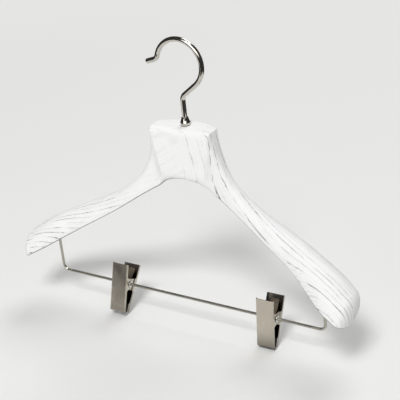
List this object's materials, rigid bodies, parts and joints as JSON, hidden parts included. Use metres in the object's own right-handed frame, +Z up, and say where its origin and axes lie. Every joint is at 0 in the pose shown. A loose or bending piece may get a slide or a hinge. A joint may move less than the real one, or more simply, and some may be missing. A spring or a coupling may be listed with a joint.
{
  "type": "wooden suit hanger",
  "caption": "Contoured white wooden suit hanger with a swivel hook and a wire trouser bar that carries sliding sprung metal clips.",
  "frame": {"origin": "the saddle, at the inner top of the hook, where the hanger rests on a rail", "axes": "+Z up, +X along the arms to the right arm, -Y the front that the arms curve towards"},
  "size_m": [0.379, 0.073, 0.2959],
  "materials": {
    "painted_wood": "white open-pore paint, satin",
    "dowel_wood": "bare beech",
    "hook_nickel": "polished nickel plate",
    "bush_steel": "turned steel",
    "bar_nickel": "drawn wire, nickel plate",
    "clip_nickel": "polished nickel plate on sheet steel",
    "rivet_nickel": "bright nickel plate",
    "spring_steel": "tempered spring steel",
    "black_rubber": "matt black rubber"
  },
  "bodies": {
    "hook": {"hook": "hook_nickel"},
    "hanger": {"left_arm": "painted_wood", "right_arm": "painted_wood", "upper_dowel": "dowel_wood", "lower_dowel": "dowel_wood", "hook_bush": "bush_steel", "hook_washer": "bush_steel", "hook_ferrule": "hook_nickel", "trouser_bar": "bar_nickel"},
    "left_clip_slider": {"left_clip_rivet": "rivet_nickel"},
    "left_clip_front": {"left_clip_front_plate": "clip_nickel", "left_clip_front_pad": "black_rubber", "left_clip_spring": "spring_steel"},
    "left_clip_back": {"left_clip_back_plate": "clip_nickel", "left_clip_back_pad": "black_rubber"},
    "right_clip_slider": {"right_clip_rivet": "rivet_nickel"},
    "right_clip_front": {"right_clip_front_plate": "clip_nickel", "right_clip_front_pad": "black_rubber", "right_clip_spring": "spring_steel"},
    "right_clip_back": {"right_clip_back_plate": "clip_nickel", "right_clip_back_pad": "black_rubber"}
  },
  "joints": [
    {"name": "hook_swivel", "type": "hinge", "parent": "hook", "child": "hanger", "pos_m": [0, 0, -0.084], "axis": [0, 0, 1], "continuous": true},
    {"name": "left_clip_slide", "type": "slide", "parent": "hanger", "child": "left_clip_slider", "axis": [1, 0, 0], "range_m": [-0.0594, 0.0671]},
    {"name": "left_clip_swing", "type": "hinge", "parent": "left_clip_slider", "child": "left_clip_front", "pos_m": [-0.0786, -0.0321, -0.26], "axis": [1, 0, 0], "continuous": true},
    {"name": "left_clip_jaw", "type": "hinge", "parent": "left_clip_front", "child": "left_clip_back", "pos_m": [-0.0786, -0.0321, -0.26], "axis": [1, 0, 0], "range_deg": [0, 30], "stiffness_Nm_per_rad": 0.12, "springref_deg": -34.38, "deforming": ["left_clip_spring"]},
    {"name": "right_clip_slide", "type": "slide", "parent": "hanger", "child": "right_clip_slider", "axis": [1, 0, 0], "range_m": [-0.0827, 0.0438]},
    {"name": "right_clip_swing", "type": "hinge", "parent": "right_clip_slider", "child": "right_clip_front", "pos_m": [0.0942, -0.0321, -0.26], "axis": [1, 0, 0], "continuous": true},
    {"name": "right_clip_jaw", "type": "hinge", "parent": "right_clip_front", "child": "right_clip_back", "pos_m": [0.0942, -0.0321, -0.26], "axis": [1, 0, 0], "range_deg": [0, 30], "stiffness_Nm_per_rad": 0.12, "springref_deg": -34.38, "deforming": ["right_clip_spring"]}
  ]
}
